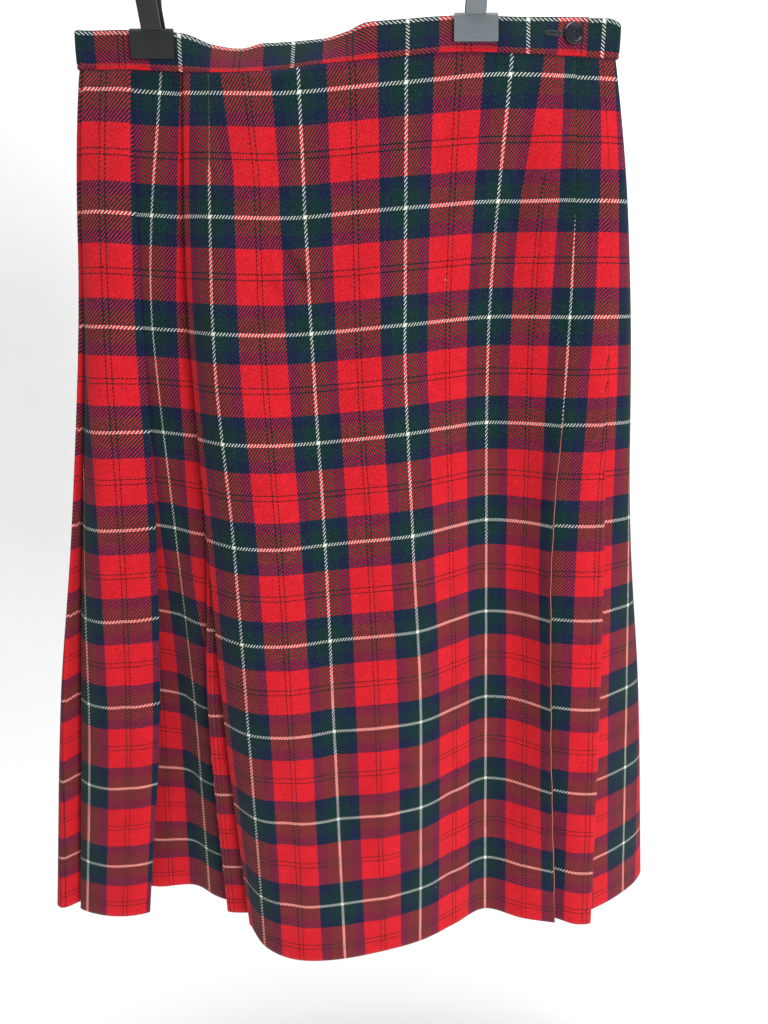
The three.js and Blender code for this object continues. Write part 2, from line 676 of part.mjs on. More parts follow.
const finishes = {
  tartan: finish(0xa82434, 0.95, 0),
  dark: finish(0x1d2c4c, 0.95, 0),
  button: finish(0x14161f, 0.3, 0),
  steel: finish(0xb9bcc0, 0.25, 1),
  plastic: finish(0x17181b, 0.45, 0),
};

const skirt = new THREE.Group();
const hanger = new THREE.Group();

function add(group, name, geometry, surface, place = [0, 0, 0]) {
  const mesh = new THREE.Mesh(geometry, finishes[surface]);
  mesh.name = name;
  mesh.position.set(...place);
  group.add(mesh);
}

add(skirt, 'waistband_over', bandStrip(overBandLine()), 'dark');
add(skirt, 'waistband_under', bandStrip(underBandLine()), 'dark');
add(skirt, 'over_apron', hangingCloth(tableLine(OVER_APRON, FACE_STEPS)), 'tartan');
add(skirt, 'under_apron', hangingCloth(underApronLine), 'tartan');
add(skirt, 'pleats_left', hangingCloth(tableLine(PLEATS_LEFT, PLEAT_STEPS)), 'tartan');
add(skirt, 'side_right', hangingCloth(tableLine(SIDE_RIGHT, FACE_STEPS)), 'tartan');
add(skirt, 'pleats_back', hangingCloth(backLine), 'tartan');
add(skirt, 'button', button(), 'button');

const barPath = [-1, 0, 1].map((side) => {
  const x = (side * BAR_LENGTH) / 2;
  return [x, 0, barHeight(x)];
});
add(hanger, 'hanger_bar', rod(barPath, BAR_RADIUS, 2, 16), 'steel');
add(hanger, 'hanger_hook', hook(), 'steel');

for (const [side, sign] of [['left', -1], ['right', 1]]) {
  const x = sign * CLIP_X;
  const z = barHeight(x);
  add(hanger, `clip_${side}_front`, jaw(x, z, 'front'), 'plastic', [x, 0, 0]);
  add(hanger, `clip_${side}_back`, jaw(x, z, 'back'), 'plastic', [x, 0, 0]);
  add(hanger, `clip_${side}_spring`, spring(), 'steel', [x, 0, z]);
}

const group = new THREE.Group();
group.add(skirt, hanger);
export default group;
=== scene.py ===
"""A tartan wrap skirt, kilted at the left side and the back, clipped to a wire hanger.

The tables are in millimetres and the finished meshes in metres. +X is the right of someone who
faces the front, -Y is towards them and +Z is up. The origin is where the hanger's hook bears.
"""

from dataclasses import dataclass

import bpy
import numpy as np
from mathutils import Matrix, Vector


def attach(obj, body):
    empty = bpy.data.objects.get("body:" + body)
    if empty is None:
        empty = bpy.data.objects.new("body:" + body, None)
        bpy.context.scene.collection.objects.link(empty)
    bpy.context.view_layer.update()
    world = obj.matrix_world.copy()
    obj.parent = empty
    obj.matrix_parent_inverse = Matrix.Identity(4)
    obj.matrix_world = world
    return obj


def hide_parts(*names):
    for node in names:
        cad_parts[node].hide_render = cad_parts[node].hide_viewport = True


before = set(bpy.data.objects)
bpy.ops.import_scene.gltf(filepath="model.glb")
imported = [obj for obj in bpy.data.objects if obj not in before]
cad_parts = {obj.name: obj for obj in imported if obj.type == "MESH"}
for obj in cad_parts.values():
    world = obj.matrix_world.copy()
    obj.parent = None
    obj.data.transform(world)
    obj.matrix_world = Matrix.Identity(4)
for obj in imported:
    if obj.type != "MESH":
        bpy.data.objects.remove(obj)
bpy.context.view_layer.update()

MM = 0.001

# ---------------------------------------------------------------- sizes

CLOTH = 1.0
BAND = 2.0
BAND_HEIGHT = 27
SEAM_GAP = 0.3
SIDE_GAP = 0.8
SEAM_Z = -152
SKIRT_LENGTH = 794
LAYER_SEAM = 1.4
LAYER_HEM = 3.2
LAYER_OVER = -3.2
LAYER_BACK = 4.6
LEFT_END = -184
RIGHT_END = 235
OVER_BAND_END = 209
UNDER_BAND_START = -50
UNDER_BAND_Y = -0.6
OVER_BAND_STARTS = 0.26     # shares of the left end's half turn where the two bands meet
UNDER_BAND_STOPS = 0.235

WARP_SETT = 79          # one repeat of the tartan across the cloth
WEFT_SETT = 89.5        # and along it
FIRST_WEFT_LINE = 18    # from the waist seam down to the first white line
WARP_YARNS = 124        # yarns in one repeat; both divide by four, so that the twill runs on
WEFT_YARNS = 104

# ---------------------------------------------------------------- tables

HEIGHTS = (0, 0.25, 0.475, 0.7, 1)      # seam, hip, thigh, knee, hem

# x: millimetres, for the hem's lift, the waist seam's lift, the waist's curve back and the bow
# of the back of the waist; degrees for the waistband's lean away from the front.
HANG_LINE = {-176: -2, -100: -6, -40: -8, 70: 0, 150: 6, 330: 6}
SEAM_LINE = {-184: -5.5, -120: -8.5, -60: -10.7, -36: -10.2, 5: -5.5, 70: 0, 112: 3.2,
             160: 2.2, 235: 3.3}
WAIST_CURVE = {-184: 14, -178: 14, -140: 7, -104: 7, -78: 3, -40: 0, 80: 0, 104: 1.5,
               140: 1.5, 172: 5, 203: 12, 242: 19}
BAND_LEAN = {-184: 3, -104: 3, -80: 33, -57: 41, -38: 33, 5: 38, 25: 29, 42: 12, 104: 15,
             140: 15, 222: 0}
BACK_WAIST = {-101: 0, -86: 3, -50: 17, 10: 19, 60: 9, 86: 2, 101: 0}
CURVE_LENGTH = 0.15     # share of the length in which the waist's curve fades
RELEASE_LENGTH = 0.3
BACK_DEPTH = (20, 42, 60, 76, 92)
BACK_PLEATS = 10
BACK_UNDERLAP = (19, 23, 26, 26, 24)
BACK_OPENING = (0, 3, 7, 12, 18)


@dataclass
class Row:
    """One fold or stretch of a section of cloth, at the five heights.

    bend "left" or "right" is a fold whose tip points that way, and front says which of its legs
    lies nearer the viewer. warp counts setts across the cloth. dart gives the cloth that a dart
    on this row swallows before it and after it, and the share of the length where it ends.
    """

    name: str
    x: tuple
    y: tuple
    warp: tuple = None
    bend: str = ""
    front: str = "before"
    dart: tuple = None


@dataclass
class Crease:
    """A soft crease seen from the front: its two ends (x, z), how deep it goes in (negative
    comes out), its half width and the bow of its middle to the left of its run."""

    ends: tuple
    depth: float
    width: float
    bow: float = 0


FRONT_CREASES = [
    Crease(((-31, -289), (-5, -324)), 8.0, 4.2),                # the dimple below the waist
    Crease(((-36, -300), (-17, -338)), -4.0, 7),
    Crease(((-98, -160), (-62, -252)), 1.3, 7, 3),
    Crease(((-18, -165), (-42, -268)), 1.5, 8, -4),
    Crease(((30, -170), (22, -240)), 1.2, 6),
    Crease(((35, -230), (50, -590)), -1.8, 15, 5),
    Crease(((100, -180), (95, -455)), 2.2, 12, -5),
    Crease(((164, -168), (150, -335)), 1.9, 8, 4),
    Crease(((186, -205), (177, -430)), -1.3, 7, 3),
    Crease(((-42, -735), (-37, -946)), 2.6, 11, 2),
    Crease(((8, -640), (16, -860)), 1.8, 10, -3),
    Crease(((46, -690), (54, -946)), -2.2, 14, 4),
    Crease(((118, -745), (120, -940)), 2.2, 12, -3),
    Crease(((170, -560), (178, -905)), 1.7, 9, 4),
    Crease(((-188, -480), (-213, -925)), 2.0, 8, 3),
    Crease(((-151, -158), (-164, -425)), -3.4, 14, -2),
    Crease(((-124, -430), (-138, -800)), 1.8, 8, 3),
    Crease(((240, -380), (262, -800)), 1.6, 8, -3),
]
BACK_CREASES = [
    Crease(((-150, -300), (-168, -880)), 3, 20, 8),
    Crease(((-62, -250), (-74, -790)), -2.6, 22, -6),
    Crease(((-20, -560), (-12, -940)), 2.4, 16, 5),
    Crease(((42, -330), (54, -930)), 3.2, 17, -7),
    Crease(((128, -280), (142, -740)), -2.2, 20, 6),
    Crease(((198, -430), (226, -915)), 2.6, 17, -5),
]

OVER_APRON = [
    Row("free edge", (199.5, 206.5, 202, 210, 227), (-3.2, -6, -9, -13, -20),
        warp=(1.9, 2.02, 1.94, 1.9, 1.91)),
    Row("beside the edge", (183, 178, 179, 186, 195), (-3.2, 3, 7, 4, -14),
        warp=(1.5, 1.53, 1.48, 1.46, 1.48), dart=(5, 15, 0.13)),
    Row("valley", (149.5, 141, 146, 152, 158), (-3.2, 9, 14, 13, -1), warp=(1, 1, 1, 1, 1)),
    Row("right of centre", (112, 106, 113, 121, 125), (-3.2, -1, -2, -6, -20)),
    Row("centre", (70, 70, 78, 87, 89), (-3.4, -10, -18, -26, -38), warp=(0, 0, 0, 0, 0)),
    Row("ridge", (-12, -6, 2, 7, 15), (-4, -14, -22, -32, -53), warp=(-1, -1, -1, -1, -1)),
    Row("left of centre", (-46, -48, -40, -36, -36), (-4, -18, -30, -38, -51)),
    Row("beside the fold", (-80.5, -85, -76, -71, -66), (-3.4, -18, -27, -34, -36),
        warp=(-2, -2, -2, -2, -2), dart=(11.5, 6.2, 0.09)),
    Row("left fold", (-100.5, -108, -103, -97, -86), (-2.55, -1, -9, -15, -9),
        warp=(-2.34, -2.35, -2.35, -2.35, -2.36), bend="left"),
    Row("kick seam", (-74.5, -78, -72, -66, -58), (-1.9, 0, -4, -4, 3),
        warp=(-2.66, -2.73, -2.74, -2.76, -2.76)),
]

PLEATS_LEFT = [
    Row("kick seam", (-74.5, -78, -72, -66, -58), (-0.6, 3, 0, 1, 8),
        warp=(1.62, 1.75, 1.88, 2.08, 2.13)),
    Row("third left fold", (-91, -104, -106, -115, -112), (0.05, 6, -2, -2, 8),
        warp=(1.42, 1.42, 1.42, 1.42, 1.42), bend="left"),
    Row("under third pleat", (-80.5, -92, -93, -96, -92.5), (1.35, 9, 4, 6, 20), bend="right"),
    Row("second face, start", (-90, -107, -110, -119, -115.5), (1.9, 10.5, 6, 9.5, 23),
        warp=(0.42, 0.42, 0.45, 0.17, 0.23)),
    Row("second face, right", (-103.5, -118, -123, -130.5, -129), (0.2, 11, 10, 16, 28),
        warp=(0.265, 0.3, 0.28, 0.03, 0.08)),
    Row("second face", (-120, -140, -141, -147, -154), (-0.4, 12, 22, 33, 42),
        warp=(-0.03, 0.05, -0.03, -0.19, -0.19)),
    Row("second face, left", (-137, -157, -161, -172, -191), (-0.6, 17.8, 28, 40, 38),
        warp=(-0.2, -0.33, -0.38, -0.5, -0.64)),
    Row("under first pleat", (-164.5, -180, -187, -199, -220), (-1.25, 20, 32, 42, 40),
        warp=(-0.5, -0.62, -0.75, -0.9, -1.0), bend="left", front="after"),
    Row("first pleat", (-141, -151, -157, -167, -193), (-2.55, 13, 19, 16, 3),
        warp=(-1.26, -1.2, -1.2, -1.2, -1.22), bend="right", front="after"),
    Row("first face", (-151, -166, -176, -188, -212), (-3.2, 6, 8, 6, -3),
        warp=(-1.37, -1.37, -1.4, -1.42, -1.44)),
    Row("first face, middle", (-161, -186, -202, -216, -232), (-3.2, 4, 5, 5, -3),
        warp=(-1.485, -1.58, -1.7, -1.765, -1.69)),
    Row("first face, left", (-170.5, -196, -218, -236, -252), (-3.2, 8, 14, 13, 1),
        warp=(-1.59, -1.69, -1.92, -2.02, -1.93)),
    Row("first left fold", (-179, -201, -226, -246, -267), (-2.55, 14, 25, 23, 8),
        warp=(-1.68, -1.76, -2.08, -2.13, -2.11), bend="left"),
    Row("side inner fold", (-169, -190, -206, -222, -240), (-1.25, 19, 34, 37, 24),
        bend="right"),
    Row("side face", (-174, -200, -227, -250, -266), (-0.6, 22, 36, 34, 20),
        warp=(-3.32, -3.32, -3.32, -3.33, -3.27)),
    Row("side face, outer", (-179, -206, -233.5, -261, -286), (-0.4, 18, 20, 17, 8),
        warp=(-3.34, -3.38, -3.4, -3.46, -3.5)),
    Row("side edge", (-183.5, -209, -236, -266, -294), (1, 23, 28, 23, 14),
        warp=(-3.36, -3.4, -3.48, -3.58, -3.61)),
    Row("side seam", (-178.4, -206, -231, -260, -288), (4.6, 32, 40, 36, 28),
        warp=(-3.42, -3.55, -3.65, -3.75, -3.8)),
]

SIDE_RIGHT = [
    Row("side seam", (228.5, 256, 274, 302, 328), (4.6, 30, 48, 68, 74),
        warp=(0.86, 1.08, 1.3, 1.55, 1.75)),
    Row("side edge", (233, 263, 282, 312, 338), (1, 22, 36, 54, 58),
        warp=(0.76, 0.97, 1.15, 1.33, 1.48)),
    Row("outer face", (230, 257.5, 277, 304, 328.5), (-0.6, 10, 21, 39, 40),
        warp=(0.72, 0.88, 0.99, 1.15, 1.3)),
    Row("inner face", (226, 247.5, 262.5, 279, 297), (-0.6, 4, 12, 20, 14),
        warp=(0.68, 0.73, 0.77, 0.8, 0.85)),
    Row("hidden seam", (222.3, 240, 248.5, 252.5, 259), (-0.6, 0, 5, 3, -8),
        warp=(0.632, 0.64, 0.62, 0.58, 0.39)),
]

UNDER_APRON = [
    Row("hidden seam", (222, 239.7, 248.2, 252.2, 258.7), (-0.6, 0, 5, 3, -8),
        warp=(0.295, 0.43, 0.85, 0.95, 0.95)),
    Row("inner bend", (219, 238, 240.5, 243, 248), (-0.6, -1, 2, 2, -8),
        warp=(0.26, 0.41, 0.74, 0.84, 0.8)),
    Row("right edge", (216, 234, 248, 256, 263), (-0.6, -2, -6, -12, -20),
        warp=(0.2, 0.364, 0.58, 0.6, 0.59)),
    Row("visible face", (211.5, 224, 226, 233, 248), (-0.6, -2.5, -7, -12, -22),
        warp=(0.15, 0.24, 0.28, 0.31, 0.4)),
    Row("under the edge", (203, 208, 204, 212, 229), (-0.6, -2, -4, -7, -14),
        warp=(0.05, 0.04, 0.03, 0.06, 0.165)),
]
UNDER_CLEARANCE = (2.6, 4, 5, 6, 7)
UNDER_START = (-50, -46, -38, -32, -28)
COVERED_ROWS = 7            # rows of the over apron in front of it
HIDDEN_COLUMNS = 60

# ---------------------------------------------------------------- curves


def smooth(knots, values, at):
    """Cubic through (knots, values) along the last axis, with slopes limited by the harmonic
    mean of the neighbouring rises, so that it never overshoots."""
    knots, values, at = (np.asarray(a, float) for a in (knots, values, at))
    rise = np.diff(values) / np.diff(knots)
    before, after = rise[..., :-1], rise[..., 1:]
    product = before * after
    total = np.where(product > 0, before + after, 1)
    inner = np.where(product > 0, 2 * product / total, 0)
    slope = np.concatenate([rise[..., :1], inner, rise[..., -1:]], axis=-1)
    at = np.clip(at, knots[0], knots[-1])
    i = np.clip(np.searchsorted(knots, at, side="right") - 1, 0, len(knots) - 2)
    h = np.diff(knots)[i]
    t = (at - knots[i]) / h
    start = values[..., i] * (1 + 2 * t) * (1 - t) ** 2
    end = values[..., i + 1] * t * t * (3 - 2 * t)
    bend = slope[..., i] * t * (1 - t) ** 2 - slope[..., i + 1] * t * t * (1 - t)
    return start + end + h * bend


def by_height(values, fraction):
    """Values given at the five heights, at any share of the length."""
    return smooth(HEIGHTS, values, fraction)


def by_x(table, x):
    """A value tabled against x."""
    return smooth(list(table), list(table.values()), x)


def layer_pitch(fraction):
    """Distance between pressed layers: it grows with the square root of the fall."""
    return LAYER_SEAM + (LAYER_HEM - LAYER_SEAM) * np.sqrt(fraction)


def hang_z(x, fraction):
    """Height of the cloth at x for a share of its length: the waist seam's lift passes evenly
    into the hem's."""
    lift = by_x(SEAM_LINE, x) * (1 - fraction) + by_x(HANG_LINE, x) * fraction
    return SEAM_Z - fraction * SKIRT_LENGTH + lift


def waist_depth(x, fraction):
    """How far the waist curves back at x. It fades with the square of what is left of the way
    to the end of the curve."""
    return by_x(WAIST_CURVE, x) * np.clip(1 - fraction / CURVE_LENGTH, 0, None) ** 2


def band_depth(x, z):
    """How far the leaning, curving band lies behind its plane, at a height."""
    return waist_depth(x, 0) + (z - hang_z(x, 0)) * np.tan(np.radians(by_x(BAND_LEAN, x)))


def crease_depth(x, z, creases):
    """Sum of soft creases at the points (x, z). Each runs from one end to the other with a bow;
    its depth is a bell curve across it and a half sine, raised to 0.7, along it."""
    total = np.zeros(np.broadcast(x, z).shape)
    for crease in creases:
        (x0, z0), (x1, z1) = crease.ends
        length = np.hypot(x1 - x0, z1 - z0)
        ux, uz = (x1 - x0) / length, (z1 - z0) / length
        share = np.clip(((x - x0) * ux + (z - z0) * uz) / length, 0, 1)
        across = (z - z0) * ux - (x - x0) * uz - crease.bow * 4 * share * (1 - share)
        fade = np.sin(np.pi * share) ** 0.7
        total += crease.depth * fade * np.exp(-((across / crease.width) ** 2))
    return total


def spline(knots, columns):
    """Centripetal Catmull-Rom curve through knots (knot, height, xy), at columns that count
    knots, by the pyramid of straight blends between knot times."""
    first = 2 * knots[:1] - knots[1:2]
    last = 2 * knots[-1:] - knots[-2:-1]
    padded = np.concatenate([first, knots, last])
    gaps = np.maximum(np.linalg.norm(np.diff(padded, axis=0), axis=-1), 1e-6) ** 0.5
    times = np.concatenate([np.zeros_like(gaps[:1]), np.cumsum(gaps, axis=0)])[..., None]
    segment = np.clip(np.floor(columns).astype(int), 0, len(knots) - 2)
    share = (columns - segment)[:, None, None]
    p = [padded[segment + k] for k in range(4)]
    t = [times[segment + k] for k in range(4)]
    now = t[1] + share * (t[2] - t[1])

    def blend(a, b, ta, tb):
        """Straight blend from a at the time ta to b at the time tb."""
        return (a * (tb - now) + b * (now - ta)) / (tb - ta)

    a = [blend(p[k], p[k + 1], t[k], t[k + 1]) for k in range(3)]
    b = [blend(a[k], a[k + 1], t[k], t[k + 2]) for k in range(2)]
    return blend(b[0], b[1], t[1], t[2])


# ---------------------------------------------------------------- sections of cloth


def section_knots(rows, fractions):
    """The section's knots at each height. A fold gives three: the end of the leg before it, its
    tip and the start of the leg after it, half a layer apart. Returns the knots and the knot
    number of each row."""
    half = layer_pitch(fractions) / 2
    knots, places = [], []
    for row in rows:
        x = by_height(row.x, fractions)
        y = by_height(row.y, fractions)
        if row.bend:
            root = x - half if row.bend == "right" else x + half
            side = -half if row.front == "before" else half
            knots += [(root, y + side), (x, y), (root, y - side)]
            places.append(len(knots) - 2)
        else:
            knots.append((x, y))
            places.append(len(knots) - 1)
    return np.moveaxis(np.array(knots), 1, 2), places


BESIDE_DART = 0.012         # in knots, from a dart to the columns close beside it


def columns_for(knots, places, rows, step):
    """Column places along the section: each stretch in steps of about one step length, and two
    more columns close beside every dart."""
    chords = np.linalg.norm(np.diff(knots, axis=0), axis=-1).mean(axis=-1)
    columns = []
    for i, chord in enumerate(chords):
        count = max(3, int(np.ceil(chord / step)))
        columns.append(i + np.arange(count) / count)
    columns.append([len(knots) - 1])
    darts = [place for place, row in zip(places, rows) if row.dart]
    beside = [place + offset for place in darts for offset in (-BESIDE_DART, BESIDE_DART)]
    return np.unique(np.concatenate(columns + [beside]))


def warp_count(line, columns, rows, places, fractions):
    """Setts across the cloth for each column and height. The cloth's own length along the
    section is the arc plus what the darts swallow, and between two rows with a warp number the
    count goes in proportion to that length."""
    steps = np.linalg.norm(np.diff(line, axis=0), axis=-1)
    length = np.concatenate([np.zeros_like(steps[:1]), np.cumsum(steps, axis=0)])
    for place, row in zip(places, rows):
        if row.dart:
            before, after, end = row.dart
            closed = np.clip(1 - fractions / end, 0, None)
            length += (columns >= place - 0.001)[:, None] * before * closed
            length += (columns > place + 0.001)[:, None] * after * closed
    anchors = [(place, row) for place, row in zip(places, rows) if row.warp]
    count = np.zeros_like(length)
    for (start, row_a), (end, row_b) in zip(anchors, anchors[1:]):
        a, b = np.searchsorted(columns, [start - 1e-6, end - 1e-6])
        warp_a = by_height(row_a.warp, fractions)
        warp_b = by_height(row_b.warp, fractions)
        share = (length[a : b + 1] - length[a]) / (length[b] - length[a])
        count[a : b + 1] = warp_a + share * (warp_b - warp_a)
    return count


def offset_line(line, distance):
    """Each point of a line (column, height, xy) moved sideways along its normal."""
    along = np.gradient(line, axis=0)
    along /= np.maximum(np.linalg.norm(along, axis=-1, keepdims=True), 1e-9)
    normal = np.stack([-along[..., 1], along[..., 0]], axis=-1)
    return line + normal * np.asarray(distance)[..., None]


def table_section(rows, fractions, step):
    """Line and warp count of a table's cloth."""
    knots, places = section_knots(rows, fractions)
    columns = columns_for(knots, places, rows, step)
    line = spline(knots, columns)
    return line, warp_count(line, columns, rows, places, fractions)


def under_apron_section(fractions, step):
    """The under apron's visible part, then a line that keeps its clearance behind the over
    apron as far as the inner edge."""
    visible, warp = table_section(UNDER_APRON, fractions, step)
    over, _ = table_section(OVER_APRON[:COVERED_ROWS], fractions, step * 2)
    behind = offset_line(over, -by_height(UNDER_CLEARANCE, fractions))
    start = visible[-1, :, 0]
    share = np.linspace(0, 1, HIDDEN_COLUMNS)[1:, None]
    x = start + share * (by_height(UNDER_START, fractions) - start)
    columns = range(len(fractions))
    y = np.stack([np.interp(x[:, i], behind[::-1, i, 0], behind[::-1, i, 1]) for i in columns], 1)
    hidden = np.stack([x, y], axis=-1)
    line = np.concatenate([visible, hidden])
    return line, np.concatenate([warp, warp[-1] + (x - start) / WARP_SETT])


# ---------------------------------------------------------------- the pleated back

# A pleat of the back: share of the underlap, half layers along the face, layer, share opened.
BACK_PLEAT = [
    (0.5, 0, 2, 0.5),       # inner leg
    (1, -1, 2, 1),          # before the inner fold
    (1, 0, 1.5, 1),         # inner fold
    (1, -1, 1, 1),          # after the inner fold
    (0.5, 0, 1, 0.35),      # outer leg
    (0, 1, 1, 0),           # before the tip
    (0, 0, 0.5, 0),         # tip
    (0, 1, 0, 0),           # after the tip
    (0.55, 0, 0, 0),        # face over the leg
    (1.1, 0, 0, 0),         # face past the leg
]
BACK_TIP = 6
BACK_TIP_WARP = 0.6         # where in the sett each pleat of the back is folded
NEAR = 0.004                # the step over which the face's direction is taken


def back_face(s, fractions):
    """Points of the back's outer face: from the left side seam to the right one in x, bowed
    back by a rounded depth that takes over from the waist's own bow."""
    left, right = PLEATS_LEFT[-1], SIDE_RIGHT[0]
    x0, x1 = by_height(left.x, fractions), by_height(right.x, fractions)
    y0, y1 = by_height(left.y, fractions), by_height(right.y, fractions)
    x = x0 + (x1 - x0) * (s + (1 - np.cos(np.pi * s)) / 2) / 2
    depth = by_height(BACK_DEPTH, fractions) * np.sin(np.pi * s) ** 0.8
    release = 1 - (1 - np.minimum(fractions / RELEASE_LENGTH, 1)) ** 2
    waist = by_x(BACK_WAIST, x)
    return np.stack([x, y0 + (y1 - y0) * s + waist + (depth - waist) * release], axis=-1)


def back_section(fractions, step):
    """Knife pleats round the back. Each face ends at a tip that points back to the left side,
    turns under, runs to its inner fold and comes out as the next face."""
    pitch = layer_pitch(fractions)
    x0 = by_height(PLEATS_LEFT[-1].x, fractions)
    width = by_height(SIDE_RIGHT[0].x, fractions) - x0
    underlap = by_height(BACK_UNDERLAP, fractions) / width
    opening = by_height(BACK_OPENING, fractions)
    turn = pitch / 2 / width
    pleat = 1 / BACK_PLEATS

    def place(s, depth):
        """The point at a share of the way round, moved inwards square to the face."""
        s = np.clip(s + 0 * width, 0, 1)
        before = back_face(np.maximum(s - NEAR, 0), fractions)
        after = back_face(np.minimum(s + NEAR, 1), fractions)
        along = after - before
        along /= np.linalg.norm(along, axis=-1, keepdims=True)
        inward = np.stack([along[..., 1], -along[..., 0]], axis=-1)
        return back_face(s, fractions) + inward * (depth + 0 * width)[..., None]

    knots = [place(SIDE_GAP / width, 0), place(pleat * 0.2, 0), place(pleat * 0.6, pitch)]
    knots.append(place(pleat - turn, 2 * pitch))
    tips, ends = [], [len(knots) - 1]
    for i in range(1, BACK_PLEATS):
        tip = i * pleat
        tips.append(len(knots) + BACK_TIP)
        for along, turned, layer, opened in BACK_PLEAT:
            s = tip + underlap * along + turn * turned
            knots.append(place(s, pitch * layer + opening * opened))
        if i < BACK_PLEATS - 1:
            last = tip + underlap * BACK_PLEAT[-1][0]
            knots.append(place((last + tip + pleat) / 2, pitch))
            knots.append(place(tip + pleat - turn, 2 * pitch))
            ends.append(len(knots) - 1)
    knots.append(place(1 - SIDE_GAP / width, 0))
    ends.append(len(knots) - 1)
    knots = np.stack(knots)
    columns = columns_for(knots, [], [], step)
    line = spline(knots, columns)

    steps = np.linalg.norm(np.diff(line, axis=0), axis=-1)
    length = np.concatenate([np.zeros_like(steps[:1]), np.cumsum(steps, axis=0)])
    at = {knot: np.searchsorted(columns, knot - 1e-6) for knot in tips + ends}
    count = np.zeros_like(length)
    tip_warp = BACK_TIP_WARP
    first = at[ends[0]]
    count[: first + 1] = tip_warp - (length[: first + 1] - length[0]) / WARP_SETT
    for i, tip in enumerate(tips):
        a, b, c = at[ends[i]], at[tip], at[ends[i + 1]]
        tip_warp -= 1
        share = (length[a : b + 1] - length[a]) / (length[b] - length[a])
        count[a : b + 1] = count[a] + share * (tip_warp - count[a])
        count[b : c + 1] = tip_warp - (length[b : c + 1] - length[b]) / WARP_SETT
    return line, count


# ---------------------------------------------------------------- meshes


def mesh_object(name, points, faces, uv=None):
    """A smooth object from points (n, 3) in millimetres and faces, with its UV map by point."""
    mesh = bpy.data.meshes.new(name)
    mesh.from_pydata((np.asarray(points, float) * MM).tolist(), [], faces)
    if uv is not None:
        layer = mesh.uv_layers.new(name="cloth")
        corners = np.empty(len(mesh.loops), np.int32)
        mesh.loops.foreach_get("vertex_index", corners)
        layer.data.foreach_set("uv", uv[corners].astype(np.float32).ravel())
    mesh.polygons.foreach_set("use_smooth", np.ones(len(mesh.polygons), bool))
    mesh.update()
    piece = bpy.data.objects.new(name, mesh)
    bpy.context.scene.collection.objects.link(piece)
    return piece


def grid_faces(rows, columns, around=False):
    """Quads of a grid of points numbered row by row; around joins the last column to the
    first."""
    r = np.arange(rows - 1)[:, None]
    c = np.arange(columns if around else columns - 1)[None, :]
    next_c = (c + 1) % columns
    corners = [r * columns + c, (r + 1) * columns + c, (r + 1) * columns + next_c]
    corners.append(r * columns + next_c)
    return np.stack(np.broadcast_arrays(*corners), axis=-1).reshape(-1, 4).tolist()


def tube_faces(rings, around):
    """Quads of a tube whose points are numbered ring by ring, and one face over each end, all
    facing outwards."""
    first = list(range(around))
    last = list(range((rings - 1) * around, rings * around))[::-1]
    return grid_faces(rings, around, around=True) + [first, last]


ROWS_DOWN = 190         # points from the seam to the hem
BACK_ROWS_DOWN = 130
APRON_STEP = 2          # between the columns of points
PLEAT_STEP = 2.2
BACK_STEP = 4.5
TOP_TUCK = 0.6          # the top edge goes this far up into the seam
SEAM_PULL = 0.9         # how far the seam pulls the cloth in just under the band
SEAM_REACH = 2.5        # and over what length


def hanging_cloth(name, section, step, creases, rows_down):
    """Cloth that hangs from the seam under the waistband to the hem: the section's line at
    each height, lowered by the hang and moved in depth by the waist's curve, the creases and
    the pull of the seam, a bell curve of the fall. Its map counts setts: across from the
    section, and down from the first white line."""
    fractions = np.linspace(0, 1, rows_down)
    line, warp = section(fractions, step)
    x = line[..., 0]
    z = hang_z(x, fractions) - SEAM_GAP + TOP_TUCK * (fractions == 0)
    y = line[..., 1] + waist_depth(x, fractions) + crease_depth(x, z, creases)
    y += SEAM_PULL * np.exp(-((fractions * SKIRT_LENGTH / SEAM_REACH) ** 2))
    points = np.stack([x, y, z], axis=-1)
    weft = (SEAM_Z + by_x(HANG_LINE, x) - FIRST_WEFT_LINE - z) / WEFT_SETT
    uv = np.stack([warp, weft], axis=-1)
    columns, heights = line.shape[:2]
    piece = mesh_object(name, points.reshape(-1, 3), grid_faces(columns, heights),
                        uv.reshape(-1, 2))
    wall = piece.modifiers.new("wall", "SOLIDIFY")
    wall.thickness = CLOTH * MM
    wall.offset = 0
    return piece


# ---------------------------------------------------------------- waistband


def run_of(x0, x1, y, step=1.5):
    """A straight run of the band at a depth."""
    x = np.linspace(x0, x1, int(abs(x1 - x0) / step) + 2)
    return np.stack([x, np.full_like(x, y)], axis=-1)


def end_turn(tip_x, y0, y1, start=0, stop=1, count=16):
    """Half a turn at an end of the waist, from one layer to the other: a half circle by the
    sine and cosine of its angle, of which start and stop give the shares to keep."""
    outward = np.sign(tip_x)
    radius = abs(y1 - y0) / 2
    angle = np.pi * np.linspace(start, stop, count)
    x = tip_x - outward * radius * (1 - np.sin(angle))
    y = (y0 + y1) / 2 + (y0 - y1) / 2 * np.cos(angle)
    return np.stack([x, y], axis=-1)


BAND_CROWN = 0.35       # how far the band puffs out between its stitching and its fold
STITCH_UP = 3.0         # height of the topstitching above the seam
STITCH_DENT = 0.7       # how far it pulls the face in
DENT_REACH = 0.8        # and over what height
WHITE_BELOW_TOP = 2.2   # the white line that runs along the band, below its upper fold


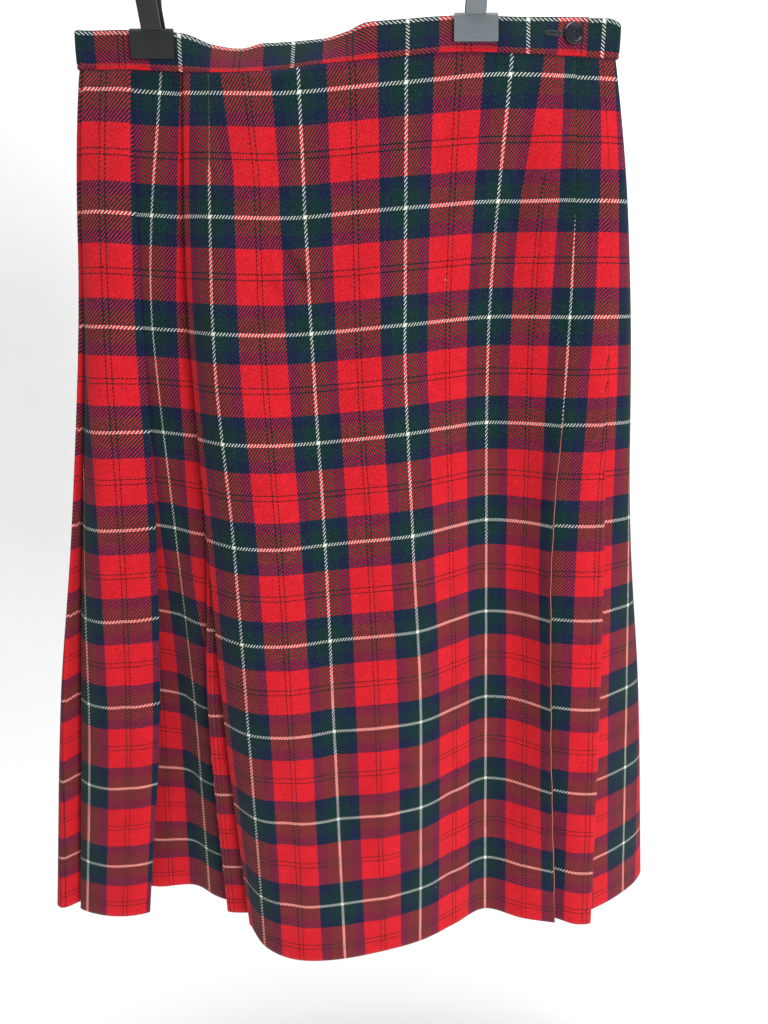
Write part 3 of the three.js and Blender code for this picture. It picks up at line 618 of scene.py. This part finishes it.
def band_profile(count=22):
    """Half profile of the folded band, from its lower edge up to the fold: (height, half
    thickness). The thickness is a flat wall with round ends, puffed by a half sine and dented
    by a bell curve at the topstitching."""
    angle = np.linspace(0, np.pi / 2, 5)
    half = BAND / 2
    low = np.stack([half * (1 - np.cos(angle)), half * np.sin(angle)], axis=-1)
    up = np.linspace(half, BAND_HEIGHT - half, count)[1:-1]
    wall = np.stack([up, np.full_like(up, half)], axis=-1)
    high = np.stack([BAND_HEIGHT - low[::-1, 0], low[::-1, 1]], axis=-1)
    profile = np.concatenate([low, wall, high])
    share = profile[:, 0] / BAND_HEIGHT
    crown = BAND_CROWN * np.sin(np.pi * share) ** 0.7
    dent = STITCH_DENT * np.exp(-(((profile[:, 0] - STITCH_UP) / DENT_REACH) ** 2))
    profile[:, 1] = np.maximum(profile[:, 1] + (crown - dent) * np.sin(np.pi * share) ** 0.3, 0)
    return profile


END_DROOP = 0.13        # share of the band's height lost at the right end of the waist
DROOP_RUN = 11          # and the distance from the end over which it goes
END_START = 0.35        # the band's last rings narrow to its ends: how far into the rounding
END_RINGS = 1.5         # the first ring is, and how many rings the rounding takes


def on_band(line, up, out):
    """Points at heights up and distances out from a line round the waist, moved back by the
    waist's curve and, by the sine and cosine of its lean, back and down. The arrays go
    together as (line point, height)."""
    along = np.gradient(line, axis=0)
    along /= np.maximum(np.linalg.norm(along, axis=-1, keepdims=True), 1e-9)
    x, y = line[:, :1], line[:, 1:]
    up = up * (1 - END_DROOP * np.clip((x - RIGHT_END) / DROOP_RUN + 1, 0, 1) ** 2)
    lean = np.radians(by_x(BAND_LEAN, x))
    depth = y + along[:, :1] * out + waist_depth(x, 0) + up * np.sin(lean)
    z = hang_z(x, 0) + up * np.cos(lean)
    return np.stack(np.broadcast_arrays(x - along[:, 1:] * out, depth, z), axis=-1)


def band_strip(name, line, weft):
    """The band along a line round the waist: its profile on both sides of the line, narrowed
    by a quarter circle at both ends. weft gives the setts along the line."""
    half = band_profile()
    front = half[:, 0], -half[:, 1]
    back = half[-2:0:-1, 0], half[-2:0:-1, 1]
    up = np.concatenate([front[0], back[0]])
    out = np.concatenate([front[1], back[1]])
    count = len(line)
    ease = np.minimum(np.arange(count), np.arange(count)[::-1])
    taper = np.sqrt(1 - (1 - np.clip((ease + END_START) / END_RINGS, 0, 1)) ** 2)
    points = on_band(line, up[None, :], out * taper[:, None])
    warp = (BAND_HEIGHT - WHITE_BELOW_TOP - up) / WARP_SETT
    uv = np.stack(np.broadcast_arrays(warp[None, :], -weft[:, None]), axis=-1)
    faces = tube_faces(count, len(up))
    return mesh_object(name, points.reshape(-1, 3), faces, uv.reshape(-1, 2))


BAND_WEFT = {-184: -0.915, -102.1: 0, -16.4: 1, 70.7: 2, 161.7: 3, 209: 3.53}  # x: setts
UNDER_BAND_LINE = 221.7     # x of a white line across the under band


def over_band():
    """The outer band, from the turn at the left end to its free end."""
    radius = (LAYER_BACK - LAYER_OVER) / 2
    turn = end_turn(LEFT_END, LAYER_BACK, LAYER_OVER, start=OVER_BAND_STARTS)
    front = run_of(LEFT_END + radius, OVER_BAND_END, LAYER_OVER)[1:]
    line = np.concatenate([turn, front])
    setts = np.interp(line[:, 0], list(BAND_WEFT), list(BAND_WEFT.values()))
    return band_strip("waistband_over_cloth", line, setts)


def under_band():
    """The inner band, round the right end and the back to the left end."""
    radius = (LAYER_BACK - UNDER_BAND_Y) / 2
    over_radius = (LAYER_BACK - LAYER_OVER) / 2
    front = run_of(UNDER_BAND_START, RIGHT_END - radius, UNDER_BAND_Y)
    turn = end_turn(RIGHT_END, UNDER_BAND_Y, LAYER_BACK)[1:]
    back = run_of(RIGHT_END - radius, LEFT_END + over_radius, LAYER_BACK)[1:]
    back[:, 1] += by_x(BACK_WAIST, back[:, 0])
    left = end_turn(LEFT_END, LAYER_BACK, LAYER_OVER, stop=UNDER_BAND_STOPS, count=5)[1:]
    line = np.concatenate([front, turn, back, left])
    steps = np.linalg.norm(np.diff(line, axis=0), axis=-1)
    length = np.concatenate([[0], np.cumsum(steps)])
    setts = (length + UNDER_BAND_START - UNDER_BAND_LINE) / WEFT_SETT
    return band_strip("waistband_under_cloth", line, setts)


# ---------------------------------------------------------------- sewing

STITCH = 3.4            # from one stitch of the topstitching to the next
END_INSET = 4           # from the over band's free end in to its line of stitches
THREAD = 0.28           # radius of a sewing thread
BUTTON_X = 196.6
BUTTON_Z = -135
BUTTONHOLE = (185.5, 10.5, 1.1)     # middle, half length and half height
HOLE_THREAD = 0.95      # mean radius of the buttonhole's wound thread
HOLE_SWELL = 0.16       # how much it swells at each turn
HOLE_TURN = 0.7         # and how far apart the turns are
BUTTON_FACE = 2.25      # how far the button's threads lie in front of the band
BUTTON_THREAD = 0.45    # their radius
BUTTON_DIP = 0.9        # how far their ends go into the holes
HOLE_OUT = 1.5          # from the button's middle to its holes, across and up
PATH_STEP = 0.28        # between the points of the topstitching
FIRST_STITCH = 6        # from the waist's left end in to the first stitch
LAST_STITCH = 2         # from the last one up to the band's fold
# The pale edge yarns stand for the fuzz on the fold edges, and their paleness paints the
# highlight that those edges catch.
YARN_OUT = 0.55         # how far an edge yarn's middle lies in front of the cloth's
YARN = 0.36             # its radius
APRON_YARN = (0.34, 0.995)          # shares of the length between which an edge yarn shows
PLEAT_YARN = (0.73, 0.98)


def tube(name, path, radius, sides=6):
    """A closed tube round a path (n, 3): a circle of the radius, which may change along the
    path, square to the path's direction."""
    along = np.gradient(path, axis=0)
    along /= np.maximum(np.linalg.norm(along, axis=-1, keepdims=True), 1e-9)
    helper = np.where(np.abs(along[:, 1:2]) > 0.9, [[1.0, 0, 0]], [[0, 1.0, 0]])
    first = np.cross(along, helper)
    first /= np.linalg.norm(first, axis=-1, keepdims=True)
    second = np.cross(along, first)
    angle = 2 * np.pi * np.arange(sides) / sides
    ring = first[:, None] * np.cos(angle)[:, None] + second[:, None] * np.sin(angle)[:, None]
    radius = np.broadcast_to(radius, len(path))[:, None, None]
    points = path[:, None] + ring * radius
    return mesh_object(name, points.reshape(-1, 3), tube_faces(len(path), sides))


def surface_out(up):
    """How far the band's face lies from its middle at a height."""
    half = band_profile()
    return -np.interp(up, half[:, 0], half[:, 1])


def topstitching():
    """One thread that runs along the over band's lower edge and turns up beside its free end.
    It rises over the cloth and dips into it by a sine of the stitch length."""
    x_end, up_end = OVER_BAND_END - END_INSET, BAND_HEIGHT - LAST_STITCH
    x = np.arange(LEFT_END + FIRST_STITCH, x_end, PATH_STEP)
    rise = np.arange(STITCH_UP, up_end, PATH_STEP)
    x = np.concatenate([x, np.full_like(rise, x_end)])
    up = np.concatenate([np.full(len(x) - len(rise), STITCH_UP), rise])
    travelled = np.arange(len(x)) * PATH_STEP
    lift = THREAD * (0.1 + 1.2 * np.sin(2 * np.pi * travelled / STITCH))
    out = surface_out(up) - lift
    lean = np.radians(by_x(BAND_LEAN, x))
    y = LAYER_OVER + out + waist_depth(x, 0) + up * np.sin(lean)
    path = np.stack([x, y, hang_z(x, 0) + up * np.cos(lean)], axis=-1)
    return tube("topstitching", path, THREAD)


def buttonhole():
    """A ring of thread round the slit, wound so closely that it looks beaded. The ring is a
    rounded oblong, by the square roots of the cosine and the sine of one turn, and the
    thread's radius swells by a sine of the way along it."""
    middle, length, height = BUTTONHOLE
    turn = np.linspace(0, 2 * np.pi, 420, endpoint=False)
    x = middle + length * np.sign(np.cos(turn)) * np.abs(np.cos(turn)) ** 0.5
    z = BUTTON_Z + height * np.sign(np.sin(turn)) * np.abs(np.sin(turn)) ** 0.5
    up = z - hang_z(x, 0)
    y = LAYER_OVER + surface_out(up) + band_depth(x, z) - 0.1
    path = np.stack([x, y, z], axis=-1)
    steps = np.linalg.norm(np.diff(path, axis=0), axis=-1)
    travelled = np.concatenate([[0], np.cumsum(steps)])
    radius = HOLE_THREAD + HOLE_SWELL * np.sin(2 * np.pi * travelled / HOLE_TURN)
    return tube("buttonhole", path, radius, 8)


def button_thread():
    """Two short threads, one above the other, over the button's middle and through its four
    holes. They dip into the holes by the fourth power of the way from the middle."""
    pieces = []
    share = np.linspace(-1, 1, 15)
    x = BUTTON_X + HOLE_OUT * share
    front = LAYER_OVER - BAND / 2 - SEAM_GAP + band_depth(BUTTON_X, BUTTON_Z) - BUTTON_FACE
    y = front + BUTTON_DIP * share ** 4
    for name, up in (("button_thread_up", -HOLE_OUT), ("button_thread_down", HOLE_OUT)):
        z = np.full_like(x, BUTTON_Z + up)
        pieces.append(tube(name, np.stack([x, y, z], axis=-1), BUTTON_THREAD, 8))
    return pieces


def edge_fuzz_highlight(name, edge, start, stop):
    """A pale yarn worked loose along an edge of the cloth, between two shares of the length; its
    pale salmon is partly the fuzz's own colour and partly a painted highlight along the fold's
    edge. It wavers by two sines and thins out at both ends by a square root."""
    count = len(edge)
    part = edge[int(start * count):int(stop * count)].copy()
    share = np.linspace(0, 1, len(part))
    part[:, 1] -= YARN_OUT
    part[:, 0] += 0.25 * np.sin(37 * share) + 0.2 * np.sin(91 * share)
    taper = np.sqrt(np.clip(np.minimum(share, 1 - share) * 12, 0.05, 1))
    return tube(name, part, YARN * taper)


def edge_points(rows, name, creases):
    """Points of a table's cloth down the row of that name."""
    fractions = np.linspace(0, 1, 260)
    row = next(r for r in rows if r.name == name)
    x, y = by_height(row.x, fractions), by_height(row.y, fractions)
    z = hang_z(x, fractions) - SEAM_GAP
    y = y + waist_depth(x, fractions) + crease_depth(x, z, creases)
    return np.stack([x, y, z], axis=-1)


# ---------------------------------------------------------------- shader maths


class Value:
    """A socket's output. Arithmetic on a number adds Math nodes to its graph."""

    def __init__(self, graph, socket):
        self.graph = graph
        self.socket = socket

    def math(self, operation, *others):
        """This number and others through one Math node."""
        return self.graph.node("ShaderNodeMath", {"operation": operation}, [self, *others])

    def __add__(self, other):
        return self.math("ADD", other)

    def __radd__(self, other):
        return self.math("ADD", other)

    def __sub__(self, other):
        return self.math("SUBTRACT", other)

    def __rsub__(self, other):
        return self.graph.node("ShaderNodeMath", {"operation": "SUBTRACT"}, [other, self])

    def __mul__(self, other):
        return self.math("MULTIPLY", other)

    def __rmul__(self, other):
        return self.math("MULTIPLY", other)

    def __mod__(self, other):
        return self.math("FLOORED_MODULO", other)

    def __lt__(self, other):
        return self.math("LESS_THAN", other)

    def __gt__(self, other):
        return self.math("GREATER_THAN", other)


OBJECT_OUTPUT = 3       # the Texture Coordinate node's Object socket


class Graph:
    """The nodes of one material round a Principled shader."""

    def __init__(self, name, **uniform):
        self.material = bpy.data.materials.new(name)
        self.material.use_nodes = True
        self.tree = self.material.node_tree
        self.shader = self.tree.nodes["Principled BSDF"]
        for socket, value in uniform.items():
            self.shader.inputs[socket.replace("_", " ").title()].default_value = value

    def node(self, kind, settings=None, inputs=(), output=0):
        """Adds a node, sets its settings, fills its sockets with values or links and gives one
        of its outputs. inputs is a list in socket order, or a dict by name or number."""
        node = self.tree.nodes.new(kind)
        for key, value in (settings or {}).items():
            if key == "stops":
                self.set_stops(node.color_ramp, value)
            else:
                setattr(node, key, value)
        pairs = inputs.items() if isinstance(inputs, dict) else enumerate(inputs)
        for key, value in pairs:
            self.fill(node.inputs[key], value)
        return Value(self, node.outputs[output])

    def fill(self, socket, value):
        """Links a value to a socket, or sets the socket to a plain number or colour."""
        if isinstance(value, Value):
            self.tree.links.new(value.socket, socket)
        else:
            socket.default_value = value

    def set_stops(self, ramp, stops):
        """Stripes of even colour: each stop holds from its place to the next."""
        ramp.interpolation = "CONSTANT"
        while len(ramp.elements) < len(stops):
            ramp.elements.new(1)
        for element, (place, colour) in zip(ramp.elements, stops):
            element.position = place
            element.color = colour

    def set(self, socket, value):
        """Gives the shader's own socket a value."""
        self.fill(self.shader.inputs[socket], value)

    def body(self):
        """The piece's own coordinates, in metres."""
        return self.node("ShaderNodeTexCoord", {}, [], OBJECT_OUTPUT)

    def mix(self, factor, a, b):
        """Colour a where factor is 0 and colour b where it is 1."""
        return self.node("ShaderNodeMix", {"data_type": "RGBA"}, {0: factor, 6: a, 7: b}, 2)

    def clamped(self, value):
        """A number held between 0 and 1."""
        return self.node("ShaderNodeClamp", {}, [value])

    def noise(self, at, scale, detail=2):
        """Noise from 0 to 1 on a set of coordinates."""
        return self.node("ShaderNodeTexNoise", {}, {"Vector": at, "Scale": scale,
                                                    "Detail": detail})

    def bump(self, height, strength, distance):
        """Height, in units of distance, as a normal for the shader."""
        return self.node("ShaderNodeBump", {}, {"Height": height, "Strength": strength,
                                                "Distance": distance})


def linear(red, green, blue):
    """A display colour of 0 to 255 as scene-linear red, green, blue and 1."""
    share = np.array([red, green, blue]) / 255
    low, high = share / 12.92, ((share + 0.055) / 1.055) ** 2.4
    return (*np.where(share <= 0.04045, low, high), 1)


# ---------------------------------------------------------------- tartan

WHITE = linear(206, 212, 200)
GREEN = linear(3, 37, 38)
NAVY = linear(9, 23, 52)
RED = linear(184, 20, 32)
DARK = linear(20, 17, 20)
FLUFF = linear(150, 120, 118)
LINT = linear(196, 190, 184)

# The half sett from the white line out, in setts: the stripes mirror at both ends. The fourth
# number is how bright the yarn is; the brighter one shows less in a mixed stripe.
SETT = [(0, (*WHITE[:3], 1)), (0.0125, (*GREEN[:3], 0)), (0.146, (*NAVY[:3], 0)),
        (0.26, (*RED[:3], 0.45)), (0.465, (*DARK[:3], 0.1)), (0.4775, (*RED[:3], 0.45))]
BRIGHT_SHIFT = 0.5      # how much less a bright yarn shows beside a dark one
LEAST_SHARE = 0.27      # but each yarn keeps at least this share of the face
TWILL_EDGE = 2.1        # how sharply the twill's diagonals are drawn
LINE_DRIFT = 0.012      # how far the stripes wander, in setts
LINT_CELLS = 38         # cells to a metre, each with room for one speck of lint
LINT_RADIUS = 0.016     # size of a speck, in cells
LINT_ABOVE = 0.8        # a cell has a speck where the grey of its random colour is above this


def tartan_material():
    """Brushed wool in a two-over-two twill. The cloth's own map counts setts, and each yarn
    takes its colour from its place in the sett. The warp shows where a triangle wave over the
    sum of the two yarn numbers, one wave to four yarns, stays below a level: a half, less
    where the warp is the brighter yarn. Fuzz blurs the level, lint and fluff lie on top."""
    g = Graph("tartan", roughness=0.9, sheen_weight=0.05, sheen_roughness=0.5)
    g.shader.inputs["Specular IOR Level"].default_value = 0.12
    place = g.node("ShaderNodeUVMap", {"uv_map": "cloth"})
    body = g.body()
    drift = (g.noise(body, 16, 2) - 0.5) * LINE_DRIFT
    warp_at = g.node("ShaderNodeSeparateXYZ", {}, [place], 0) + drift
    weft_at = g.node("ShaderNodeSeparateXYZ", {}, [place], 1) - drift

    def yarn(at, output):
        """The sett's colour (output 0) or brightness (output 1) at a place in the sett."""
        sett = {"stops": SETT}
        return g.node("ShaderNodeValToRGB", sett, [at.math("PINGPONG", 0.5)], output)

    fibres = g.noise(body, 1200, 2) - 0.5
    fuzz = g.noise(body, 450, 2) - 0.5
    number = warp_at * WARP_YARNS + weft_at * WEFT_YARNS
    wave = (number * 0.5).math("PINGPONG", 1)
    brighter = yarn(warp_at, 1) - yarn(weft_at, 1)
    share = g.node("ShaderNodeClamp", {}, [0.5 - brighter * BRIGHT_SHIFT, LEAST_SHARE,
                                           1 - LEAST_SHARE])
    level = share + fuzz * 0.3
    warp_shows = g.clamped((level - wave) * TWILL_EDGE + 0.5)
    colour = g.mix(warp_shows, yarn(weft_at, 0), yarn(warp_at, 0))

    cells = {"Vector": body, "Scale": LINT_CELLS}
    near = g.node("ShaderNodeTexVoronoi", {}, cells, 0) < LINT_RADIUS
    chosen = g.node("ShaderNodeTexVoronoi", {}, cells, 1) > LINT_ABOVE
    linty = g.mix(near * chosen * 0.8, colour, LINT)
    fluffy = g.mix(g.clamped(fibres * 2) * 0.11, linty, FLUFF)
    shade = 1 + fibres * 1.3 + fuzz * 0.35 + (g.noise(body, 45, 2) - 0.5) * 0.3
    shaded = g.node("ShaderNodeVectorMath", {"operation": "SCALE"}, {0: fluffy, "Scale": shade})
    g.set("Base Color", shaded)
    rib = (wave - 0.5) * (wave - 0.5) * 4
    g.set("Normal", g.bump(rib + fibres * 1.6 + fuzz, 0.4, 0.0004))
    return g.material


def plain_material(name, colour, **uniform):
    """A moulded or drawn surface: fine grain in its colour and a faint bump."""
    g = Graph(name, **uniform)
    body = g.body()
    grain = g.noise(body, 600, 4)
    g.set("Base Color", g.mix(grain * 0.25, colour, tuple(0.7 * c for c in colour[:3]) + (1,)))
    g.set("Normal", g.bump(grain, 0.1, 0.0002))
    return g.material


def thread_material(name, colour):
    """Twisted sewing thread: fine light and dark turns over a soft sheen."""
    g = Graph(name, roughness=0.7, sheen_weight=0.2)
    body = g.body()
    twist = g.noise(body, 2600, 2)
    darker = tuple(0.45 * c for c in colour[:3]) + (1,)
    g.set("Base Color", g.mix(twist, darker, colour))
    g.set("Normal", g.bump(twist, 0.5, 0.0002))
    return g.material


# ---------------------------------------------------------------- assembly


def dress(piece, material):
    """Gives a piece of cloth or sewing its material and body."""
    piece.data.materials.append(material)
    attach(piece, "root")


def table_of(rows):
    """The section function of a table."""
    return lambda fractions, step: table_section(rows, fractions, step)


tartan = tartan_material()
hanging = {
    "over_apron": (table_of(OVER_APRON), APRON_STEP, FRONT_CREASES, ROWS_DOWN),
    "pleats_left": (table_of(PLEATS_LEFT), PLEAT_STEP, FRONT_CREASES, ROWS_DOWN),
    "under_apron": (under_apron_section, APRON_STEP, FRONT_CREASES, ROWS_DOWN),
    "side_right": (table_of(SIDE_RIGHT), APRON_STEP, FRONT_CREASES, ROWS_DOWN),
    "pleats_back": (back_section, BACK_STEP, BACK_CREASES, BACK_ROWS_DOWN),
}
cloths = {node: hanging_cloth(node + "_cloth", *plan) for node, plan in hanging.items()}
cloths["waistband_over"] = over_band()
cloths["waistband_under"] = under_band()
for node, piece in cloths.items():
    dress(piece, tartan)
    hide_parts(node)

navy_thread = thread_material("navy_thread", linear(6, 8, 24))
# The topstitching's red thread is darkened beyond its own colour, as painted shade for the groove
# it lies in.
red_thread_groove_shade = thread_material("red_thread_groove_shade", linear(92, 14, 24))
# Pale salmon for the edge yarns: the fuzz's own colour, lightened as a painted highlight along
# the fold edges.
salmon_fuzz_highlight = thread_material("salmon_fuzz_highlight", linear(206, 96, 92))
sewing = [
    (topstitching(), "waistband_over", red_thread_groove_shade),
    (buttonhole(), "waistband_over", navy_thread),
    (edge_fuzz_highlight("apron_edge_fuzz_highlight", edge_points(OVER_APRON, "free edge", FRONT_CREASES),
               *APRON_YARN), "over_apron", salmon_fuzz_highlight),
    (edge_fuzz_highlight("pleat_edge_fuzz_highlight", edge_points(PLEATS_LEFT, "third left fold", FRONT_CREASES),
               *PLEAT_YARN), "pleats_left", salmon_fuzz_highlight),
]
sewing += [(piece, "button", navy_thread) for piece in button_thread()]
for piece, _, material in sewing:
    dress(piece, material)

# ---------------------------------------------------------------- hanger's finishes

steel = plain_material("polished_steel", linear(205, 207, 210), metallic=1, roughness=0.22)
black_plastic = plain_material("black_plastic", linear(16, 18, 18), roughness=0.55)
grey_plastic = plain_material("grey_plastic", linear(96, 104, 108), roughness=0.4)
button_plastic = plain_material("button_plastic", linear(20, 22, 36), roughness=0.26)
for name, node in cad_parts.items():
    if name.startswith("hanger") or "spring" in name:
        node.data.materials[0] = steel
    elif name.startswith("clip_left"):
        node.data.materials[0] = black_plastic
    elif name.startswith("clip_right"):
        node.data.materials[0] = grey_plastic
    elif name == "button":
        node.data.materials[0] = button_plastic

# ---------------------------------------------------------------- stage, lights and camera


EYE = (0.053, -0.6559, -0.3196)     # metres
EYE_TILT = 73.75        # degrees up from straight down
LENS = 27.07            # millimetres, on a 36 mm frame


def camera():
    """Stands close in front of the waist and looks down a little."""
    data = bpy.data.cameras.new("camera")
    data.lens = LENS
    data.sensor_width = 36
    eye = bpy.data.objects.new("camera", data)
    eye.location = EYE
    eye.rotation_euler = (np.radians(EYE_TILT), 0, 0)
    bpy.context.scene.collection.objects.link(eye)
    bpy.context.scene.camera = eye


def area_light(name, place, aim, size, power):
    """A square light at a place, in metres, turned towards its aim."""
    data = bpy.data.lights.new(name, "AREA")
    data.shape = "SQUARE"
    data.size = size
    data.energy = power
    lamp = bpy.data.objects.new(name, data)
    lamp.location = place
    direction = np.array(aim) - np.array(place)
    lamp.rotation_euler = Vector(direction).to_track_quat("-Z", "Y").to_euler()
    bpy.context.scene.collection.objects.link(lamp)


FLOOR_DROP = 1.25       # metres from the origin down to the floor
WALL_BACK = 1.7         # and back to the cove's wall
COVE_RADIUS = 0.9
FLOOR_FRONT = 4.5       # how far the floor comes forward
COVE_HALF = 5.0         # half the cove's width
WALL_TOP = 3


def stage():
    """A pale cove: the floor runs back and turns up in a quarter circle into the wall."""
    angle = np.linspace(0, np.pi / 2, 24)
    back = WALL_BACK - COVE_RADIUS * (1 - np.sin(angle))
    up = COVE_RADIUS * (1 - np.cos(angle)) - FLOOR_DROP
    y = np.concatenate([[-FLOOR_FRONT], back, [WALL_BACK]])
    z = np.concatenate([[-FLOOR_DROP], up, [WALL_TOP]])
    x = np.array([-COVE_HALF, COVE_HALF])
    grid = np.stack(np.broadcast_arrays(x[:, None], y, z), axis=-1)
    cove = mesh_object("cove", grid.reshape(-1, 3) / MM, grid_faces(2, len(y)))
    g = Graph("pale_cove", roughness=0.9)
    g.set("Base Color", g.mix(g.noise(g.body(), 3) * 0.1, (0.93, 0.93, 0.93, 1),
                              (0.88, 0.88, 0.88, 1)))
    cove.data.materials.append(g.material)
    world = bpy.data.worlds.new("studio")
    world.use_nodes = True
    world.node_tree.nodes["Background"].inputs["Color"].default_value = (1, 1, 1, 1)
    world.node_tree.nodes["Background"].inputs["Strength"].default_value = 0.36
    bpy.context.scene.world = world


camera()
stage()
area_light("key", (1.15, -1.9, -0.4), aim=(0, 0, -0.55), size=1.0, power=51)
area_light("backdrop", (0, 0.1, 1.6), aim=(0, 1.6, -0.5), size=1.5, power=45)
bpy.context.scene.view_settings.view_transform = "Standard"
